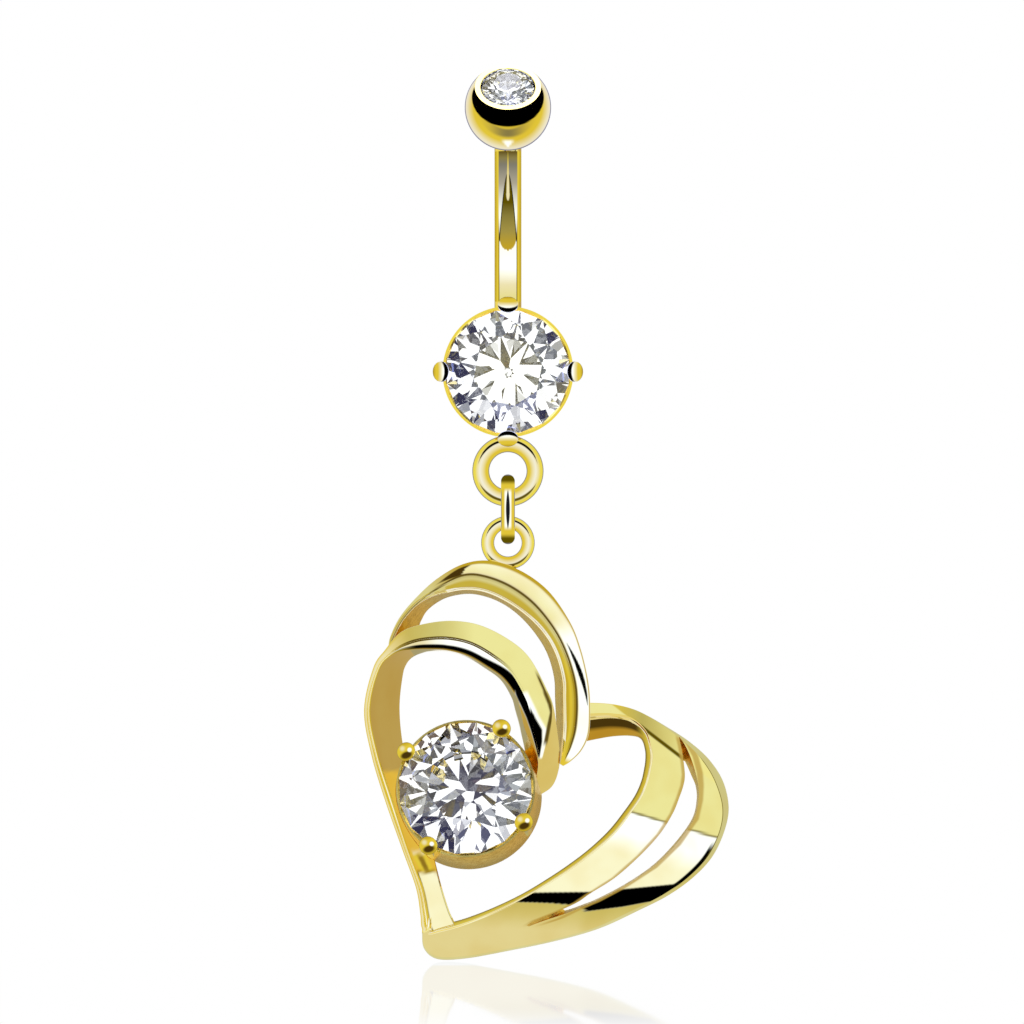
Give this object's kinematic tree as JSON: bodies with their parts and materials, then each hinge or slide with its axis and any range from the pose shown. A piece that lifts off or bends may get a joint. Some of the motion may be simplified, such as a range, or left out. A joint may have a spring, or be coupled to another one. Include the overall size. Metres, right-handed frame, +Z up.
{
  "type": "navel ring with heart drop",
  "caption": "Curved barbell with a screw-on stone-set ball, a prong-set round stone and an open cast heart drop that swings on a jump ring.",
  "frame": {"origin": "middle of the curved shaft's centre line, where the ring sits in the piercing", "axes": "+Z up, from the heart toward the screw-on ball; -Y forward, the way the stones face; +X to the right as seen from the front"},
  "size_m": [0.0215, 0.0097, 0.0527],
  "materials": {
    "gold_polished": "mirror-polished gold-tone plating",
    "gold_cast": "cast, polished on its faces and left slightly rough on its inner walls, gold-tone plating",
    "clear_stone": "colourless faceted stone, brilliant cut"
  },
  "bodies": {
    "barbell": {"barbell": "gold_polished", "barbell_stone": "clear_stone"},
    "ball": {"top_ball": "gold_polished", "ball_stone": "clear_stone"},
    "link": {"jump_ring": "gold_polished"},
    "heart": {"heart_frame": "gold_cast", "heart_stone": "clear_stone"}
  },
  "joints": [
    {"name": "ball_unscrew", "type": "slide", "parent": "barbell", "child": "ball", "axis": [0, -0.7071, 0.7071], "range_m": [0, 0.003]},
    {"name": "link_swing", "type": "hinge", "parent": "barbell", "child": "link", "pos_m": [0, -0.0059, -0.01588], "axis": [1, 0, 0], "range_deg": [-60, 60]},
    {"name": "heart_swing", "type": "hinge", "parent": "link", "child": "heart", "pos_m": [0, -0.0059, -0.01819], "axis": [0, 1, 0], "range_deg": [-50, 50]}
  ]
}
